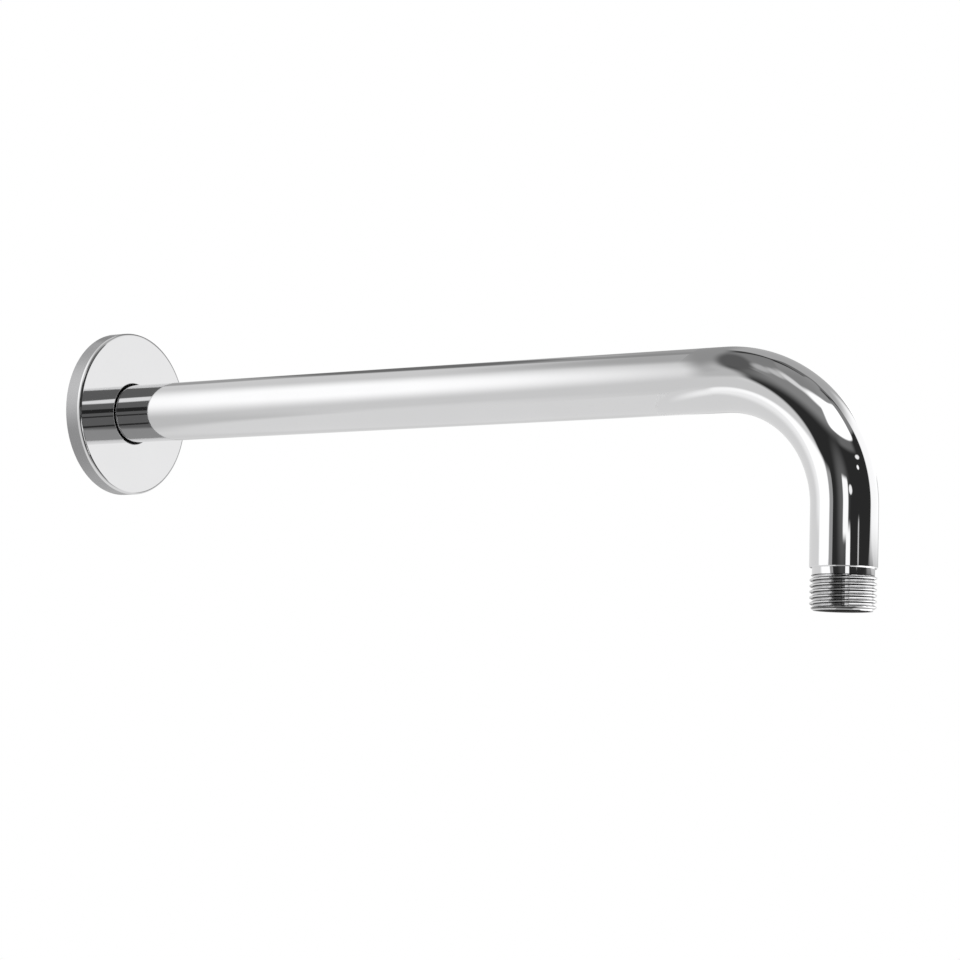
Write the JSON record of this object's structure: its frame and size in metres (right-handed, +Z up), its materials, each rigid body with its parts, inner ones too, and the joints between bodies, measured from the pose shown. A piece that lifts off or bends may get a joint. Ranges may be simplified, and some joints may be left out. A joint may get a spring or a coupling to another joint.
{
  "type": "shower arm",
  "caption": "Wall shower arm: a straight round pipe bent down at a right angle, with a threaded end for the wall, a threaded outlet and a round slip-on wall flange.",
  "frame": {"origin": "on the inlet axis, in the plane of the finished wall, where the flange's rim rests", "axes": "+X out of the wall along the arm, +Z up, the outlet points to -Z"},
  "size_m": [0.3268, 0.06, 0.1047],
  "materials": {
    "pipe_chrome": "polished",
    "flange_chrome": "polished",
    "ring_rubber": "matt"
  },
  "bodies": {
    "arm": {"arm_pipe": "pipe_chrome"},
    "flange": {"wall_flange": "flange_chrome", "flange_grip_ring": "ring_rubber"}
  },
  "joints": [
    {"name": "flange_slide", "type": "slide", "parent": "arm", "child": "flange", "axis": [1, 0, 0], "range_m": [0, 0.25]}
  ]
}
